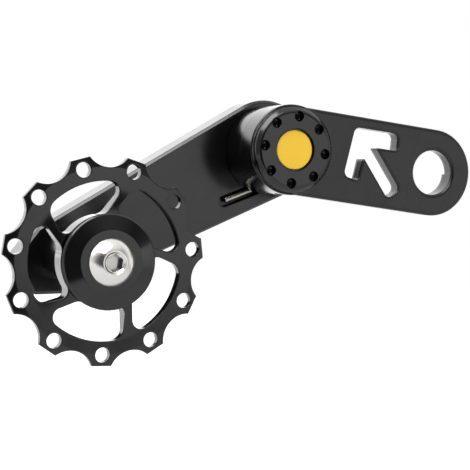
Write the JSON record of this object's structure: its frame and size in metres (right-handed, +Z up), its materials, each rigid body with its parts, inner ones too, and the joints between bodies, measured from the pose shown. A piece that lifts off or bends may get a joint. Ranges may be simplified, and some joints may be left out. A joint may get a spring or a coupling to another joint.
{
  "type": "bicycle chain tensioner",
  "caption": "Single-pulley chain tensioner: a hanger plate carries a sprung pivot, and a tapered arm holds a toothed pulley on a ball bearing in front of it.",
  "frame": {"origin": "middle of the hanger hole, in the hanger plate's front plane", "axes": "+X along the hanger plate away from the arm's pivot, +Z up, front faces with the cap and the pulley look along -Y"},
  "size_m": [0.1107, 0.0383, 0.0609],
  "materials": {
    "anodised_black": "satin black anodised",
    "gloss_black": "gloss black anodised",
    "yellow_anodised": "yellow anodised",
    "polished_steel": "polished",
    "spring_steel": "drawn wire",
    "dark_steel": "blackened",
    "bright_steel": "ground",
    "bronze": "sintered",
    "white_polymer": "plain",
    "black_rubber": "matt"
  },
  "bodies": {
    "hanger": {"hanger_plate": "anodised_black", "spring_housing": "gloss_black", "preload_cap": "anodised_black", "cap_plug": "yellow_anodised", "cap_set_screw": "dark_steel", "pivot_bush": "bronze", "thrust_washer": "white_polymer"},
    "arm": {"arm_plate": "anodised_black", "torsion_spring": "spring_steel", "pivot_axle": "bright_steel", "axle_washer": "bright_steel", "axle_screw": "bright_steel", "pulley_bolt": "polished_steel", "pulley_spacer": "gloss_black", "cover_front": "gloss_black", "cover_rear": "gloss_black", "bearing_inner_ring": "bright_steel"},
    "pulley": {"pulley_wheel": "anodised_black", "bearing_outer_ring": "bright_steel", "bearing_shield_front": "black_rubber", "bearing_shield_rear": "black_rubber"},
    "ball_cage": {"bearing_balls": "bright_steel", "bearing_cage": "white_polymer"}
  },
  "joints": [
    {"name": "arm_pivot", "type": "hinge", "parent": "hanger", "child": "arm", "pos_m": [-0.03653, 0.0136, 0], "axis": [0, 1, 0], "range_deg": [0, 90], "stiffness_Nm_per_rad": 0.21, "springref_deg": -45.84, "deforming": ["torsion_spring"]},
    {"name": "pulley_spin", "type": "hinge", "parent": "arm", "child": "pulley", "pos_m": [-0.07981, -0.00978, -0.02865], "axis": [0, 1, 0], "continuous": true},
    {"name": "ball_cage_spin", "type": "hinge", "parent": "arm", "child": "ball_cage", "pos_m": [-0.07981, -0.00978, -0.02865], "axis": [0, 1, 0], "continuous": true}
  ],
  "couplings": [
    {"joint": "ball_cage_spin", "follows": "pulley_spin", "ratio": 0.6087}
  ]
}
